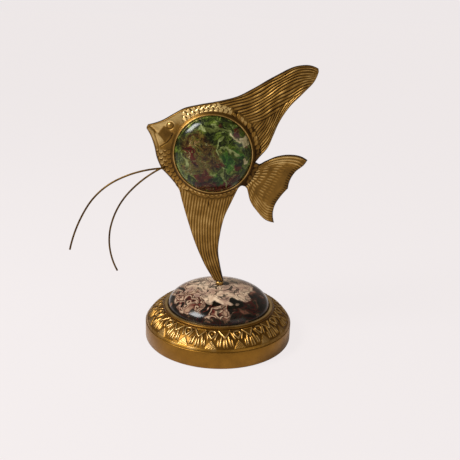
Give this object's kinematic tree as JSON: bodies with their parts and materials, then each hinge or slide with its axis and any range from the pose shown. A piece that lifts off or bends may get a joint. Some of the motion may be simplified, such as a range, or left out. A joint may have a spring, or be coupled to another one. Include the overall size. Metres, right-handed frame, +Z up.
{
  "type": "fish figurine",
  "caption": "Cast brass angelfish ornament with bezel-set polished stones and wire feelers, turning on a stud above a round stone-topped brass base.",
  "frame": {"origin": "on the stud's axis, at the underside of the felt pad", "axes": "+Z up along the stud's axis, the fish faces -X, its front side looks along -Y"},
  "size_m": [0.1563, 0.1, 0.184],
  "materials": {
    "felt": "pressed felt",
    "fibreboard": "smooth board",
    "base_brass": "cast, antiqued and rubbed back",
    "sheet_steel": "rolled sheet",
    "plaster": "cast, matt",
    "cream_stone": "polished",
    "fastener_steel": "zinc plated",
    "vulcanised_fibre": "pressed, matt",
    "bright_brass": "drawn, lightly tarnished",
    "fish_brass": "cast, antiqued and rubbed back",
    "green_stone": "polished"
  },
  "bodies": {
    "base": {"felt_pad": "felt", "backing_board": "fibreboard", "base_drum": "base_brass", "base_plate": "sheet_steel", "rim_cover": "base_brass", "base_weight": "plaster", "stone_bed": "plaster", "base_stone": "cream_stone", "base_bezel": "base_brass", "flat_washer": "fastener_steel"},
    "fish": {"fibre_washer": "vulcanised_fibre", "lock_nut": "fastener_steel", "mounting_stud": "fastener_steel", "foot_ferrule": "bright_brass", "fish_casting": "fish_brass", "front_bezel": "fish_brass", "rear_bezel": "fish_brass", "front_stone": "green_stone", "rear_stone": "green_stone", "stone_cement": "plaster", "front_feeler": "bright_brass", "rear_feeler": "bright_brass"}
  },
  "joints": [
    {"name": "fish_swivel", "type": "hinge", "parent": "base", "child": "fish", "pos_m": [0, 0, 0.0367], "axis": [0, 0, 1], "continuous": true}
  ]
}
